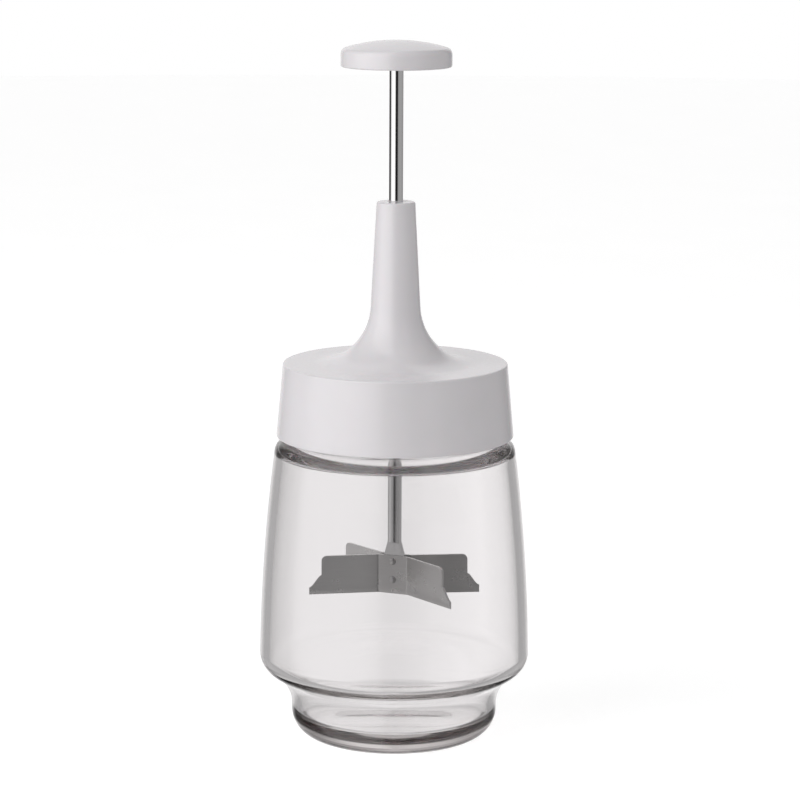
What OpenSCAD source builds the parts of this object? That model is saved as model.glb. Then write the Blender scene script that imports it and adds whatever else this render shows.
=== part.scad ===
// Push-down food chopper: a glass jar, a screw lid with a tall neck, and a sprung rod
// that carries a cross of four blades. Millimetres, +Z up. The origin is the centre of
// the standing plane, and the blades' flat plates face -Y and +Y.

/* [Jar outside] */
// Diameter of the foot's upright wall
foot_d = 71.6; // [69:0.2:73]
// Rounding under the foot
foot_corner_r = 8.8; // [6:0.2:9.4]
// Radius of the hollow curve above the foot
waist_r = 14.8; // [13:0.2:16]
// Diameter of the belly at its widest
belly_d = 93.8; // [91:0.2:96]
// Height of the widest point of the belly
belly_z = 29.4; // [28.6:0.2:32]
// Rounding under the belly
belly_corner_r = 7.5; // [6.5:0.1:9]
// Radius of the belly's long upright curve
belly_arc_r = 650; // [500:10:900]
// Lean of the long curve where it starts, in degrees
belly_lean = 1.1; // [0.6:0.1:1.6]
// Height of the top of the shoulder
shoulder_z = 104.7; // [96:0.5:112]
// Rounding of the shoulder
shoulder_r = 4.8; // [4.2:0.1:6]
// Diameter of the shallow hollow under the base
punt_d = 44; // [30:1:50]
// Depth of the hollow under the base
punt_h = 1.2; // [0.6:0.1:2]

/* [Jar inside and mouth] */
// Thickness of the glass wall
jar_wall = 3.2; // [2.6:0.1:3.8]
// Thickness of the glass floor
floor_t = 8; // [6:0.5:9]
// Thickness of the glass under the shoulder
shoulder_t = 4.6; // [3.6:0.1:6]
// Rounding inside the shoulder
inner_shoulder_r = 1.5; // [1:0.1:3]
// Width of the flat ring between the shoulder's rounding and the mouth
shoulder_flat = 1.5; // [1:0.1:4]
// Thickness of the glass at the mouth
mouth_wall = 2.8; // [2.2:0.1:3.2]
// Height of the mouth above the shoulder
mouth_h = 22.3; // [20:0.1:26]

/* [Screw thread] */
// Rise of the thread in one turn
thread_pitch = 6; // [5:0.25:7]
// How far the glass thread stands out
jar_thread_h = 1.4; // [1.1:0.1:1.5]
// How far the lid's thread stands in
lid_thread_h = 1.3; // [1.1:0.1:1.4]
// Height of a thread at its root
thread_root = 2.4; // [2:0.1:2.4]
// Height of a thread at its crest
thread_crest = 1.2; // [0.8:0.1:1.4]
// Turns of the glass thread
jar_thread_turns = 1.25; // [1:0.05:1.4]
// Turns of the lid's thread
lid_thread_turns = 1; // [0.8:0.05:1.1]
// Height of the glass thread's lower end above the shoulder
thread_lift = 5.5; // [4.5:0.25:6.5]

/* [Lid] */
// Thickness of the skirt at its upper edge
skirt_wall = 1.4; // [1.2:0.1:2.4]
// How much further out the skirt stands at its lower edge
skirt_spread = 2.2; // [0.5:0.1:3]
// Gap between the jar's shoulder and the lid
lid_gap = 1.2; // [0.4:0.1:1.6]
// Thickness of the lid's flat top
lid_top_t = 2.6; // [2:0.1:3.2]
// Rounding of the lower edge
lid_edge_r = 0.4; // [0.3:0.1:1]
// Bevel of the upper edge
lid_bevel = 0.7; // [0.3:0.1:1]
// Thickness of the seal ring
seal_t = 1.6; // [1.2:0.1:2.2]
// Number of webs inside the trumpet
web_count = 4; // [3:1:6]
// Thickness of each web
web_t = 1.6; // [1.2:0.1:2.4]

/* [Neck] */
// Radius of the trumpet curve between the flat top and the neck
flare_r = 20.3; // [16:0.1:21]
// Height of the neck above the flat top
neck_h = 55.6; // [50:0.1:62]
// Diameter of the neck at its upper end
neck_top_d = 13.3; // [13:0.1:14.6]
// Taper of the neck on each side, in degrees
neck_taper = 3; // [1.5:0.1:3.6]
// Rounding of the neck's upper edge
neck_edge_r = 0.7; // [0.3:0.1:1]
// Diameter of the spring's chamber in the neck
chamber_d = 10.3; // [10:0.1:10.6]
// Thickness of the neck's upper end above the chamber
neck_cap_t = 4.4; // [3:0.1:6]
// Wall of the tube that carries the chamber down under the top
tube_wall = 2.1; // [1.6:0.1:2.6]
// How far that tube reaches below the flat top
tube_drop = 14; // [12:0.5:16]

/* [Rod and stroke] */
// Diameter of the rod
rod_d = 4.8; // [4.4:0.1:5.2]
// Radial clearance where the rod runs in a bore
run_gap = 0.05; // [0.02:0.01:0.08]
// Stroke of the rod
stroke = 41.4; // [36:0.2:41.6]
// Space left between the knob and the neck at the end of the stroke
knob_gap = 4.3; // [2:0.1:8]
// Space left between the blades and the jar's floor at the end of the stroke
floor_gap = 0.6; // [0.3:0.1:1.5]
// Thickness of the flattened tang
tang_t = 2.4; // [2:0.1:2.8]
// Width of the tang behind the blades
tang_w = 7.6; // [6.4:0.1:8]
// Height of the flattened shoulder above the blades
tang_rise = 4.8; // [3.6:0.1:6]

/* [Spring and clip] */
// Diameter of the spring's wire
wire_d = 0.9; // [0.7:0.05:1]
// Mean diameter of the spring
spring_d = 8.4; // [8:0.1:8.8]
// Turns of the spring
spring_turns = 16; // [12:1:18]
// Thickness of the washer on the spring
washer_t = 0.8; // [0.5:0.1:1.2]
// Thickness of the clip in the rod's groove
clip_t = 0.8; // [0.6:0.1:1]
// Depth of the rod's groove
groove_h = 0.5; // [0.3:0.05:0.7]
// Opening of the clip, in degrees
clip_open = 70; // [50:5:90]
// Thickness of the retainer's flange
flange_t = 1.6; // [1.2:0.1:2.4]
// Height of the retainer's spigot in the tube
spigot_h = 5; // [4:0.1:6]

/* [Knob] */
// Diameter of the knob
knob_d = 37.8; // [34:0.2:42]
// Height of the knob
knob_h = 9; // [8:0.1:11]
// Radius of the knob's domed top
knob_dome_r = 62; // [50:1:90]
// Rounding between the dome and the rim
knob_corner_r = 2.4; // [1.8:0.1:3]
// Rounding of the rim's lower edge
knob_edge_r = 0.6; // [0.3:0.1:0.9]
// Wall of the hollow knob
knob_wall = 2; // [1.6:0.1:2.4]
// Diameter of the boss that takes the rod
knob_boss_d = 11; // [9:0.2:14]
// Number of ribs under the dome
knob_ribs = 6; // [3:1:8]

/* [Blades] */
// Thickness of a blade strip
blade_t = 0.8; // [0.6:0.1:1]
// Height of a blade strip
blade_h = 13.6; // [12:0.1:15]
// Width of the flat plate between the two bends
plate_w = 10; // [9:0.1:11]
// Angle of the front strip's wings from its flat plate, in degrees
front_wing_angle = 31.5; // [24:0.5:38]
// Angle of the back strip's wings from its flat plate, in degrees
back_wing_angle = 28; // [24:0.5:38]
// Distance from the axis to a wing's lower tip
blade_tip_r = 29.6; // [28:0.1:30.8]
// How far the upper corner stands back from the tip
wing_step = 4.3; // [3:0.1:5]
// Height of the tip's upright edge
tip_h = 2.5; // [2:0.1:3]
// Height of the slanted step above the tip's edge
step_h = 4.4; // [3.6:0.1:5]
// Rounding of a wing's upper corner
wing_corner_r = 1.8; // [1.2:0.1:2.4]
// Height of the ground cutting bevel
bevel_h = 1.4; // [0.8:0.1:2]
// Diameter of a rivet's shank
rivet_d = 1.7; // [1.4:0.1:1.9]
// Diameter of a rivet's head
rivet_head_d = 2.6; // [2.4:0.1:3]
// Height of a rivet's head
rivet_head_h = 0.6; // [0.4:0.1:0.8]
// Distance between the two rivets
rivet_gap = 6.5; // [5.6:0.1:7]
// Height of the rivets' middle above the strip's middle
rivet_lift = 1.5; // [0:0.1:1.8]

/* [Hidden] */
$fn = 96;

glass = [0.86, 0.9, 0.9, 0.4];
white = [0.93, 0.93, 0.92];
steel = [0.72, 0.73, 0.74];
chrome = [0.85, 0.86, 0.88];
rubber = [0.82, 0.83, 0.82];

// overlap where two shapes of one solid join
lap = 0.4;
// how far a cut runs past the faces it opens
past = 1;

// jar: centres of the curves of the outline, as [radius, height]
foot_r = foot_d / 2;
corner_c = [belly_d / 2 - belly_corner_r, belly_z];
waist_reach = waist_r + belly_corner_r;
waist_x = foot_r + waist_r;
waist_c = [waist_x, belly_z - sqrt(waist_reach * waist_reach - pow(waist_x - corner_c[0], 2))];
waist_end = atan2(corner_c[1] - waist_c[1], corner_c[0] - waist_c[0]);
belly_reach = belly_arc_r - belly_corner_r;
belly_c = corner_c - belly_reach * [cos(belly_lean), sin(belly_lean)];
shoulder_reach = belly_arc_r - shoulder_r;
shoulder_c_z = shoulder_z - shoulder_r;
shoulder_lean = asin((shoulder_c_z - belly_c[1]) / shoulder_reach);
shoulder_c = [belly_c[0] + shoulder_reach * cos(shoulder_lean), shoulder_c_z];
foot_round = min(foot_corner_r, waist_c[1] - 0.2);
finish_r = shoulder_c[0] - shoulder_flat;
mouth_r = finish_r - mouth_wall;
rim_z = shoulder_z + mouth_h;
rim_round = mouth_wall * 0.45;
mouth_fillet = 3.5;
inner_shoulder_z = shoulder_z - shoulder_t;
inner_reach = belly_arc_r - jar_wall - inner_shoulder_r;
inner_c_z = inner_shoulder_z - inner_shoulder_r;
inner_lean = asin((inner_c_z - belly_c[1]) / inner_reach);
inner_c = [belly_c[0] + inner_reach * cos(inner_lean), inner_c_z];
floor_round = max(waist_c[1] - floor_t - 0.1, 0.5);

// thread: the lid's turns bear on the underside of the glass turns
thread_r_gap = 0.6;
thread_z = shoulder_z + thread_lift;
lid_thread_start = 60;
flank_reach = (thread_root + thread_crest) / 2;
lid_thread_z = thread_z + thread_pitch * lid_thread_start / 360 - flank_reach;
lid_bore_r = finish_r + lid_thread_h + thread_r_gap;
thread_step = 10;

// lid
lid_z = shoulder_z + lid_gap;
lid_top_r = lid_bore_r + skirt_wall;
lid_r = lid_top_r + skirt_spread;
seal_gap = 0.1;
lid_under_z = rim_z + seal_t + seal_gap;
lid_top_z = lid_under_z + lid_top_t;
seal_side_gap = 0.4;
rib_wall = 1.3;
rib_drop = 2.6;
tube_z = lid_top_z - tube_drop;

// neck
neck_z = lid_top_z + neck_h;
neck_top_r = neck_top_d / 2;
flare_z = lid_top_z + flare_r;
flare_x = neck_top_r + (neck_z - flare_z) * tan(neck_taper) + flare_r / cos(neck_taper);
flare_c = [flare_x, flare_z];
chamber_r = chamber_d / 2;
chamber_top_z = neck_z - neck_cap_t;
tube_r = chamber_r + tube_wall;
hollow_r = flare_r + lid_top_t;
tube_join = acos((flare_x - tube_r) / hollow_r);

// rod: the clip rests under the chamber's roof
rod_r = rod_d / 2;
bore_r = rod_r + run_gap;
clip_gap = 0.1;
clip_z = chamber_top_z - clip_gap - clip_t;
washer_z = clip_z - washer_t;
knob_z = neck_z + stroke + knob_gap;
knob_top_z = knob_z + knob_h;
blade_z = floor_t + floor_gap + stroke;
blade_top_z = blade_z + blade_h;
rivet_mid_z = blade_z + blade_h / 2 + rivet_lift;
rivet_high_z = rivet_mid_z + rivet_gap / 2;
rivet_low_z = rivet_mid_z - rivet_gap / 2;
tang_z = blade_z + 0.8;
flat_run = 0.5;
flat_z = blade_top_z + tang_rise - flat_run;
rod_top_z = knob_top_z - knob_wall - 0.8;

// retainer: snaps into a groove in the tube's wall
bead_h = 0.8;
bead_r = chamber_r + 0.45;
bead_z = tube_z + spigot_h * 0.45;
flange_r = tube_r - 0.3;

// spring, between the retainer and the washer
spring_low_z = tube_z + spigot_h;
spring_len = washer_z - spring_low_z;
spring_rings = 12;
spring_sides = 6;

// blades
strip_y = tang_t / 2;
grip = strip_y + blade_t;
bend_r = 1.2;
wing_far = blade_tip_r + plate_w;

// points of a circular arc from angle a to angle b
function arc(c, r, a, b, n = 8) =
    [for (i = [0:n]) c + r * [cos(a + (b - a) * i / n), sin(a + (b - a) * i / n)]];

// outline of the jar's outside and rim, from the axis outwards and up
function jar_outside() = concat(
    [[0, punt_h]],
    [for (i = [1:6]) [punt_d / 12 * i, punt_h * (1 - pow(i / 6, 2))]],
    arc([foot_r - foot_round, foot_round], foot_round, -90, 0),
    arc(waist_c, waist_r, 180, waist_end),
    arc(corner_c, belly_corner_r, waist_end - 180, belly_lean),
    arc(belly_c, belly_arc_r, belly_lean, shoulder_lean),
    arc(shoulder_c, shoulder_r, shoulder_lean, 90),
    [[finish_r, shoulder_z]],
    arc([finish_r - rim_round, rim_z - rim_round], rim_round, 0, 90, 5));

// outline of the jar's inside, from the mouth down to the floor's centre
function jar_inside() = concat(
    arc([mouth_r + rim_round, rim_z - rim_round], rim_round, 90, 180, 5),
    arc([mouth_r + mouth_fillet, inner_shoulder_z + mouth_fillet], mouth_fillet, 180, 270, 5),
    arc(inner_c, inner_shoulder_r, 90, inner_lean, 5),
    arc(belly_c, belly_arc_r - jar_wall, inner_lean, belly_lean),
    arc(corner_c, belly_corner_r - jar_wall, belly_lean, waist_end - 180),
    arc(waist_c, waist_r + jar_wall, waist_end, 180),
    arc([foot_r - jar_wall - floor_round, floor_t + floor_round], floor_round, 0, -90, 5),
    [[0, floor_t]]);

// one thread ridge: root at radius r, standing out by h (in if h is negative)
module thread_ridge(r, h, turns, z, start) {
    n = ceil(turns * 360 / thread_step);
    runout = 3;
    root = r - sign(h) * lap;
    rings = [for (i = [0:n])
        let (a = start + turns * 360 * i / n,
             grow = min(1, (i + 0.3) / runout, (n - i + 0.3) / runout),
             zi = z + thread_pitch * turns * i / n,
             crest = r + h * grow,
             half = thread_crest / 2 * grow)
        [for (p = [[root, -thread_root / 2], [crest, -half], [crest, half], [root, thread_root / 2]])
            [p[0] * cos(a), p[0] * sin(a), zi + p[1]]]];
    points = [for (ring = rings) each ring];
    side = h > 0 ? [0, 1, 2, 3] : [3, 2, 1, 0];
    walls = [for (i = [0:n - 1], k = [0:3])
        let (a = side[k], b = side[(k + 1) % 4])
        each [[i * 4 + a, i * 4 + b, i * 4 + 4 + b], [i * 4 + a, i * 4 + 4 + b, i * 4 + 4 + a]]];
    first = [[side[2], side[1], side[0]], [side[3], side[2], side[0]]];
    last = [for (f = first) [for (k = [2:-1:0]) f[k] + n * 4]];
    polyhedron(points = points, faces = concat(walls, first, last), convexity = 6);
}

module jar() {
    color(glass) {
        rotate_extrude()
            polygon(concat(jar_outside(), jar_inside()));
        thread_ridge(finish_r, jar_thread_h, jar_thread_turns, thread_z, 0);
    }
}

module seal_ring() {
    color(rubber)
        translate([0, 0, rim_z])
            difference() {
                cylinder(r = lid_bore_r - seal_side_gap, h = seal_t);
                translate([0, 0, -past])
                    cylinder(r = mouth_r - 0.3, h = seal_t + 2 * past);
            }
}

// outside of the lid and neck, as a solid of revolution
function lid_outside() = concat(
    [[0, lid_z]],
    arc([lid_r - lid_edge_r, lid_z + lid_edge_r], lid_edge_r, -90, 0, 4),
    [[lid_top_r, lid_top_z - lid_bevel], [lid_top_r - lid_bevel, lid_top_z]],
    arc(flare_c, flare_r, 270, 180 + neck_taper, 14),
    arc([neck_top_r - neck_edge_r, neck_z - neck_edge_r], neck_edge_r, 0, 90, 4),
    [[0, neck_z]]);

// hollow between the skirt and the tube, up into the trumpet
function lid_hollow() = concat(
    [[tube_r, tube_z - past], [tube_r, lid_z - past], [lid_bore_r, lid_z - past],
     [lid_bore_r, lid_under_z]],
    arc(flare_c, hollow_r, 270, 180 + tube_join, 10));

module lid_web() {
    outline = concat(
        [[tube_r - lap, tube_z + spigot_h], [tube_r - lap, flare_z - hollow_r * sin(tube_join)]],
        arc(flare_c, hollow_r - lap, 180 + tube_join, 250, 6),
        [[tube_r + 1, tube_z + spigot_h]]);
    rotate([90, 0, 0])
        linear_extrude(height = web_t, center = true)
            polygon(outline);
}

module lid() {
    color(white) {
        difference() {
            rotate_extrude()
                polygon(lid_outside());
            rotate_extrude()
                polygon(lid_hollow());
            translate([0, 0, lid_z - past])
                cylinder(r = tube_r + lap, h = tube_z - lid_z + past);
            translate([0, 0, tube_z - past])
                cylinder(r = chamber_r, h = chamber_top_z - tube_z + past);
            translate([0, 0, bead_z])
                cylinder(r = bead_r, h = bead_h);
            translate([0, 0, chamber_top_z - past])
                cylinder(r = bore_r, h = neck_cap_t + 2 * past);
        }
        difference() {
            translate([0, 0, lid_under_z - rib_drop])
                cylinder(r = mouth_r - 0.6, h = rib_drop + lap);
            translate([0, 0, lid_under_z - rib_drop - past])
                cylinder(r = mouth_r - 0.6 - rib_wall, h = rib_drop + lap + 2 * past);
        }
        for (i = [0:web_count - 1])
            rotate([0, 0, 360 / web_count * (i + 0.5)])
                lid_web();
        thread_ridge(lid_bore_r, -lid_thread_h, lid_thread_turns, lid_thread_z, lid_thread_start);
    }
}

module spring_retainer() {
    color(white)
        difference() {
            union() {
                translate([0, 0, tube_z - flange_t])
                    cylinder(r = flange_r, h = flange_t);
                translate([0, 0, tube_z - lap])
                    cylinder(r = chamber_r - run_gap, h = spigot_h + lap);
                translate([0, 0, bead_z + run_gap])
                    cylinder(r = bead_r - run_gap, h = bead_h - 2 * run_gap);
            }
            translate([0, 0, tube_z - flange_t - past])
                cylinder(r = bore_r, h = flange_t + spigot_h + 2 * past);
        }
}

// centre of the spring's wire at turn u
function wire_at(u) =
    let (z = spring_low_z + wire_d / 2 + (spring_len - wire_d) * u / spring_turns)
    [spring_d / 2 * cos(360 * u), spring_d / 2 * sin(360 * u), z];

module return_spring() {
    n = spring_turns * spring_rings;
    rise = atan((spring_len - wire_d) / spring_turns / (PI * spring_d));
    spots = [for (i = [0:n], k = [0:spring_sides - 1])
        let (u = i / spring_rings,
             t = 360 * k / spring_sides,
             out = wire_d / 2 * cos(t),
             up = wire_d / 2 * sin(t),
             a = 360 * u,
             c = wire_at(u))
        [c[0] + out * cos(a) + up * sin(rise) * sin(a),
         c[1] + out * sin(a) - up * sin(rise) * cos(a),
         c[2] + up * cos(rise)]];
    walls = [for (i = [0:n - 1], k = [0:spring_sides - 1])
        let (a = i * spring_sides + k, b = i * spring_sides + (k + 1) % spring_sides)
        each [[a, a + spring_sides, b + spring_sides], [a, b + spring_sides, b]]];
    first = [for (k = [1:spring_sides - 2]) [0, k, k + 1]];
    last = [for (f = first) [for (k = [2:-1:0]) f[k] + n * spring_sides]];
    gap = min([for (i = [0:spring_rings]) norm(wire_at(1 + i / 99 - 0.06) - wire_at(0))]) - wire_d;
    echo(least_gap_between_turns = gap);
    color(steel)
        polyhedron(points = spots, faces = concat(walls, first, last), convexity = 12);
}

module spring_washer() {
    color(steel)
        translate([0, 0, washer_z])
            difference() {
                cylinder(r = chamber_r - 0.4, h = washer_t);
                translate([0, 0, -past])
                    cylinder(r = bore_r, h = washer_t + 2 * past);
            }
}

module retaining_clip() {
    clip_r = rod_r - groove_h;
    color(steel)
        translate([0, 0, clip_z])
            difference() {
                cylinder(r = chamber_r - 0.6, h = clip_t);
                translate([0, 0, -past])
                    cylinder(r = clip_r, h = clip_t + 2 * past);
                translate([0, 0, -past])
                    linear_extrude(height = clip_t + 2 * past)
                        polygon([[0, 0],
                                 chamber_d * [cos(clip_open / 2), sin(clip_open / 2)],
                                 chamber_d * [cos(clip_open / 2), -sin(clip_open / 2)]]);
            }
}

// a rivet's hole through whatever lies across it
module rivet_hole(z) {
    translate([0, 0, z])
        rotate([90, 0, 0])
            cylinder(d = rivet_d, h = 2 * (grip + past), center = true);
}

// what pressing the rod's lower end flat takes off one side
module pressed_side() {
    slope = flat_run / (rod_r - strip_y);
    rotate([90, 0, 90])
        linear_extrude(height = 2 * tang_w, center = true)
            polygon([[strip_y, blade_z], [strip_y, flat_z],
                     [rod_d, flat_z + slope * (rod_d - strip_y)], [rod_d, blade_z]]);
}

module rod() {
    tang_top = rod_r * 0.86;
    color(chrome)
        difference() {
            union() {
                translate([0, 0, flat_z - past])
                    cylinder(r = rod_r, h = rod_top_z - flat_z + past);
                rotate([90, 0, 0])
                    linear_extrude(height = tang_t + 2 * lap, center = true)
                        polygon([[-tang_w / 2, tang_z], [tang_w / 2, tang_z],
                                 [tang_w / 2, blade_top_z - 0.5], [tang_top, flat_z + 0.3],
                                 [-tang_top, flat_z + 0.3], [-tang_w / 2, blade_top_z - 0.5]]);
            }
            for (side = [0, 1])
                mirror([0, side, 0])
                    pressed_side();
            translate([0, 0, clip_z])
                difference() {
                    cylinder(r = rod_r + past, h = clip_t);
                    translate([0, 0, -past])
                        cylinder(r = rod_r - groove_h, h = clip_t + 2 * past);
                }
            rivet_hole(rivet_high_z);
            rivet_hole(rivet_low_z);
        }
}

module push_knob() {
    dome_z = knob_top_z - knob_dome_r;
    reach = knob_dome_r - knob_corner_r;
    corner_x = knob_d / 2 - knob_corner_r;
    corner_lean = acos(corner_x / reach);
    corner = [corner_x, dome_z + reach * sin(corner_lean)];
    inner_dome = knob_dome_r - knob_wall;
    inner_r = knob_d / 2 - knob_wall;
    boss_r = knob_boss_d / 2;
    boss_z = knob_z + 0.9;
    inner_lean = acos(inner_r / inner_dome);
    boss_lean = acos(boss_r / inner_dome);
    color(white) {
        difference() {
            rotate_extrude()
                polygon(concat(
                    [[rod_r, knob_z]],
                    arc([knob_d / 2 - knob_edge_r, knob_z + knob_edge_r], knob_edge_r, -90, 0, 4),
                    arc(corner, knob_corner_r, 0, corner_lean, 6),
                    arc([0, dome_z], knob_dome_r, corner_lean, 90, 8),
                    [[0, rod_top_z], [rod_r, rod_top_z]]));
            rotate_extrude()
                polygon(concat(
                    [[rod_r - lap, knob_z - past], [inner_r, knob_z - past]],
                    arc([0, dome_z], inner_dome, inner_lean, boss_lean, 6),
                    [[boss_r, boss_z], [rod_r - lap, boss_z]]));
        }
        for (i = [0:knob_ribs - 1])
            rotate([0, 0, 360 / knob_ribs * i])
                translate([boss_r - lap, -knob_wall / 4, knob_z + 2.2])
                    cube([inner_r - boss_r + 2 * lap, knob_wall / 2, knob_h - 2.2 - knob_wall - 1.8]);
    }
}

// the strip seen from above: flat plate at -Y, and a wing bent forward at each end
module strip_plan(wing_angle) {
    bend_x = plate_w / 2;
    c = [bend_x, -grip - bend_r];
    dir = [cos(wing_angle), -sin(wing_angle)];
    inner = arc(c, bend_r + blade_t, 90, 90 - wing_angle, 4);
    outer = arc(c, bend_r, 90 - wing_angle, 90, 4);
    right = concat(inner,
        [inner[4] + blade_tip_r * dir, outer[0] + blade_tip_r * dir],
        outer);
    left = [for (i = [len(right) - 1:-1:0]) [-right[i][0], right[i][1]]];
    polygon(concat(right, left));
}

// what the press cuts away outside a wing's end, in the wing's own plane
module wing_trim() {
    r_top = blade_tip_r - wing_step;
    c = [r_top - wing_corner_r, blade_h - wing_corner_r];
    sweep = min(step_h, wing_step) * 0.62;
    polygon(concat(
        [[c[0], blade_h + past]],
        arc(c, wing_corner_r, 90, 0, 6),
        arc([r_top + sweep, tip_h + step_h], sweep, 180, 225, 4),
        arc([blade_tip_r - sweep, tip_h + 0.2], sweep, 45, 0, 4),
        [[blade_tip_r, -past], [wing_far, -past], [wing_far, blade_h + past]]));
}

module blade_strip(wing_angle) {
    plane_y = -strip_y - blade_t / 2;
    fold_x = plate_w / 2 + (bend_r + blade_t / 2) * tan(wing_angle / 2);
    grind = atan(blade_t * 0.8 / bevel_h);
    difference() {
        translate([0, 0, blade_z])
            linear_extrude(height = blade_h)
                strip_plan(wing_angle);
        for (side = [0, 1])
            mirror([side, 0, 0])
                translate([fold_x, plane_y, blade_z])
                    rotate([0, 0, -wing_angle])
                        translate([-fold_x, 0, 0]) {
                            rotate([90, 0, 0])
                                linear_extrude(height = 6 * blade_t, center = true)
                                    wing_trim();
                            translate([fold_x + bend_r, -blade_t / 2, bevel_h])
                                rotate([grind, 0, 0])
                                    translate([0, -2 * blade_t, -2 * bevel_h])
                                        cube([wing_far, 2 * blade_t, 3 * bevel_h]);
                        }
        rivet_hole(rivet_high_z);
        rivet_hole(rivet_low_z);
    }
}

module blade_front() {
    color(steel)
        blade_strip(front_wing_angle);
}

module blade_back() {
    color(steel)
        rotate([0, 0, 180])
            blade_strip(back_wing_angle);
}

// a domed head on each side of the two strips
module blade_rivet(z) {
    head_r = rivet_head_d / 2;
    color(steel)
        translate([0, 0, z])
            rotate([90, 0, 0]) {
                cylinder(d = rivet_d, h = 2 * grip + 0.2, center = true);
                for (side = [0, 1])
                    mirror([0, 0, side])
                        translate([0, 0, grip])
                            rotate_extrude()
                                polygon([[0, 0], [head_r, 0], [head_r * 0.92, rivet_head_h * 0.45],
                                         [head_r * 0.7, rivet_head_h * 0.8],
                                         [head_r * 0.35, rivet_head_h * 0.97], [0, rivet_head_h]]);
            }
}

module blade_rivet_upper() {
    blade_rivet(rivet_high_z);
}

module blade_rivet_lower() {
    blade_rivet(rivet_low_z);
}

jar();
seal_ring();
lid();
spring_retainer();
return_spring();
spring_washer();
retaining_clip();
rod();
push_knob();
blade_front();
blade_back();
blade_rivet_upper();
blade_rivet_lower();
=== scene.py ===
"""The looks of the push-down food chopper: glass jar, white screw lid with its neck, knob,
bright rod and blades. Lengths are written in millimetres and turned into metres by MM."""
import math
import bpy
import bmesh
import numpy as np
from mathutils import Matrix, Vector

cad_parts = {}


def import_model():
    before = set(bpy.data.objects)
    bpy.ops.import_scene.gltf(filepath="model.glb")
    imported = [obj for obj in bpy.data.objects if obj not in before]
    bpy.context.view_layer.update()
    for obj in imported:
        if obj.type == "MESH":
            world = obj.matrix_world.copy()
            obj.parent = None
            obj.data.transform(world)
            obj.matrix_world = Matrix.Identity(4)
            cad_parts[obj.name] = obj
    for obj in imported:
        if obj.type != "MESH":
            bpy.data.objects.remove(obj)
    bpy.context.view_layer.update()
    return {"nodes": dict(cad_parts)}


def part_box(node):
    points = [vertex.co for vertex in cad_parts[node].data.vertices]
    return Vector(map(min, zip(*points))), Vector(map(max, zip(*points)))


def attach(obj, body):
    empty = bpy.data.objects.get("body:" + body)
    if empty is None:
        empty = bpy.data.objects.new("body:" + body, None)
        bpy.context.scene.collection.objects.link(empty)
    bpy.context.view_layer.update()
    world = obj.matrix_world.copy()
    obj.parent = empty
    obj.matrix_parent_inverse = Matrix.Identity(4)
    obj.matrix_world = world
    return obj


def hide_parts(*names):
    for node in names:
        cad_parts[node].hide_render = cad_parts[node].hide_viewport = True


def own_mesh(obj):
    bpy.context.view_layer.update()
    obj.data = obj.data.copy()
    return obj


MM = 0.001
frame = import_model()


def node_size(node):
    """Low and high corner of a CAD node, in millimetres."""
    low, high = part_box(node)
    return low / MM, high / MM


JAR = node_size("jar")
LID = node_size("lid")
KNOB = node_size("push_knob")
ROD = node_size("rod")
BLADE = node_size("blade_front")
SPRING = node_size("return_spring")

# jar: the sizes of its outline
FOOT_R = 35.8
FOOT_ROUND = 8.8
WAIST_R = 14.8
BELLY_R = JAR[1].x
BELLY_Z = 29.4
BELLY_ROUND = 7.5
BELLY_ARC_R = 650.0
BELLY_LEAN = 1.1
SHOULDER_Z = 104.7
SHOULDER_ROUND = 4.8
SHOULDER_FLAT = 1.5
PUNT_R = 22.0
PUNT_H = 1.2
WALL = 3.2
SHOULDER_T = 4.6
INNER_SHOULDER_R = 1.5
MOUTH_FILLET = 3.5
FLOOR_Z = 8.0
MOUTH_WALL = 2.8
RIM_Z = JAR[1].z
RIM_ROUND = MOUTH_WALL * 0.45


def belly_curve(round_r, radius, z):
    """Centre and lean, in degrees, of a rounding that ends the belly's long arc below a height."""
    run = radius - round_r
    lean = math.asin((z - round_r - BELLY_C[1]) / run)
    return (BELLY_C[0] + run * math.cos(lean), z - round_r), math.degrees(lean)


# jar: the centres of its curves, as (radius, height)
CORNER_C = (BELLY_R - BELLY_ROUND, BELLY_Z)
WAIST_REACH = WAIST_R + BELLY_ROUND
WAIST_X = FOOT_R + WAIST_R
WAIST_C = (WAIST_X, BELLY_Z - math.sqrt(WAIST_REACH ** 2 - (WAIST_X - CORNER_C[0]) ** 2))
WAIST_END = math.degrees(math.atan2(CORNER_C[1] - WAIST_C[1], CORNER_C[0] - WAIST_C[0]))
BELLY_REACH = BELLY_ARC_R - BELLY_ROUND
BELLY_C = (CORNER_C[0] - BELLY_REACH * math.cos(math.radians(BELLY_LEAN)),
           CORNER_C[1] - BELLY_REACH * math.sin(math.radians(BELLY_LEAN)))
SHOULDER_C, SHOULDER_LEAN = belly_curve(SHOULDER_ROUND, BELLY_ARC_R, SHOULDER_Z)
INNER_C, INNER_LEAN = belly_curve(INNER_SHOULDER_R, BELLY_ARC_R - WALL, SHOULDER_Z - SHOULDER_T)
FINISH_R = SHOULDER_C[0] - SHOULDER_FLAT
MOUTH_R = FINISH_R - MOUTH_WALL

# screw thread
THREAD_PITCH = 6.0
THREAD_ROOT = 2.4
THREAD_CREST = 1.2
JAR_THREAD_H = 1.4
JAR_THREAD_TURNS = 1.25
JAR_THREAD_Z = SHOULDER_Z + 5.5

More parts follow.
